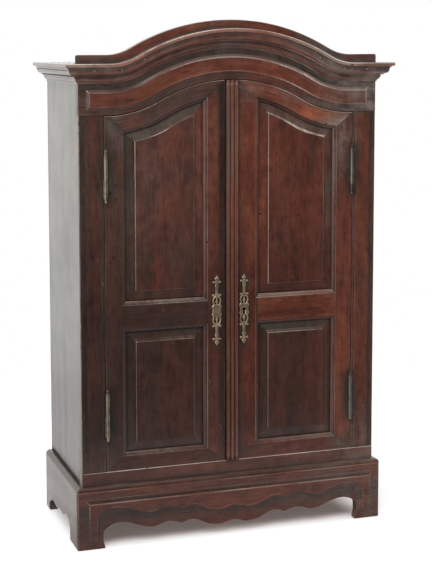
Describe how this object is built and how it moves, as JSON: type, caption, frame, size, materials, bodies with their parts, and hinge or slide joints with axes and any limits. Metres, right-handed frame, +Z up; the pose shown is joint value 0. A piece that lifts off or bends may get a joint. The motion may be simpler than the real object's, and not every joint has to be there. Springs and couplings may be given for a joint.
{
  "type": "miniature armoire",
  "caption": "Small arched-top cabinet with hinged raised-panel doors, moulded cornice, scalloped base, shelves, a rim lock and sliding bolts, for keeping a collection.",
  "frame": {"origin": "on the floor, under the middle of the whole box", "axes": "+Z up, the doors face -Y, +X to the right of a person facing the doors"},
  "size_m": [0.46, 0.209, 0.6995],
  "materials": {
    "stained_wood": "dark red-brown stain under worn, waxed varnish",
    "inner_wood": "bare, darkened with age",
    "brass": "dull, with patina",
    "iron": "dark, oiled"
  },
  "bodies": {
    "cabinet": {"base_front_apron": "stained_wood", "base_left_bracket": "stained_wood", "base_right_bracket": "stained_wood", "base_back_rail": "inner_wood", "base_corner_blocks": "inner_wood", "left_side": "stained_wood", "right_side": "stained_wood", "bottom_board": "inner_wood", "top_board": "stained_wood", "back_board_1": "inner_wood", "back_board_2": "inner_wood", "back_board_3": "inner_wood", "left_front_stile": "stained_wood", "right_front_stile": "stained_wood", "bottom_rail": "stained_wood", "frieze_board": "stained_wood", "cornice_front": "stained_wood", "cornice_left_return": "stained_wood", "cornice_right_return": "stained_wood", "cornice_brads": "iron", "lower_shelf": "inner_wood", "upper_shelf": "inner_wood", "shelf_cleats": "inner_wood", "door_stops": "inner_wood", "top_bolt_keeper": "iron", "left_lower_hinge_frame_leaf": "brass", "left_upper_hinge_frame_leaf": "brass", "right_lower_hinge_frame_leaf": "iron", "right_upper_hinge_frame_leaf": "iron"},
    "left_door": {"left_hinge_stile": "stained_wood", "left_lock_stile": "stained_wood", "left_top_rail": "stained_wood", "left_middle_rail": "stained_wood", "left_bottom_rail": "stained_wood", "left_upper_panel": "stained_wood", "left_lower_panel": "stained_wood", "left_escutcheon": "brass", "left_escutcheon_pins": "brass", "left_lower_hinge_door_leaf": "brass", "left_upper_hinge_door_leaf": "brass", "lock_keeper": "iron", "bolt_guides": "iron"},
    "right_door": {"right_hinge_stile": "stained_wood", "right_lock_stile": "stained_wood", "right_top_rail": "stained_wood", "right_middle_rail": "stained_wood", "right_bottom_rail": "stained_wood", "right_upper_panel": "stained_wood", "right_lower_panel": "stained_wood", "right_escutcheon": "brass", "right_escutcheon_pins": "brass", "right_lower_hinge_door_leaf": "iron", "right_upper_hinge_door_leaf": "iron", "right_astragal": "stained_wood", "lock_case": "iron", "lock_cap": "iron"},
    "top_bolt": {"top_bolt": "iron"},
    "bottom_bolt": {"bottom_bolt": "iron"},
    "lock_bolt": {"lock_bolt": "iron"}
  },
  "joints": [
    {"name": "left_door_hinge", "type": "hinge", "parent": "cabinet", "child": "left_door", "pos_m": [-0.1745, -0.0877, 0.337], "axis": [0, 0, -1], "range_deg": [0, 170]},
    {"name": "right_door_hinge", "type": "hinge", "parent": "cabinet", "child": "right_door", "pos_m": [0.1745, -0.0877, 0.337], "axis": [0, 0, 1], "range_deg": [0, 170]},
    {"name": "top_bolt_slide", "type": "slide", "parent": "left_door", "child": "top_bolt", "axis": [0, 0, 1], "range_m": [0, 0.014]},
    {"name": "bottom_bolt_slide", "type": "slide", "parent": "left_door", "child": "bottom_bolt", "axis": [0, 0, -1], "range_m": [0, 0.01]},
    {"name": "lock_bolt_slide", "type": "slide", "parent": "right_door", "child": "lock_bolt", "axis": [-1, 0, 0], "range_m": [0, 0.009]}
  ]
}
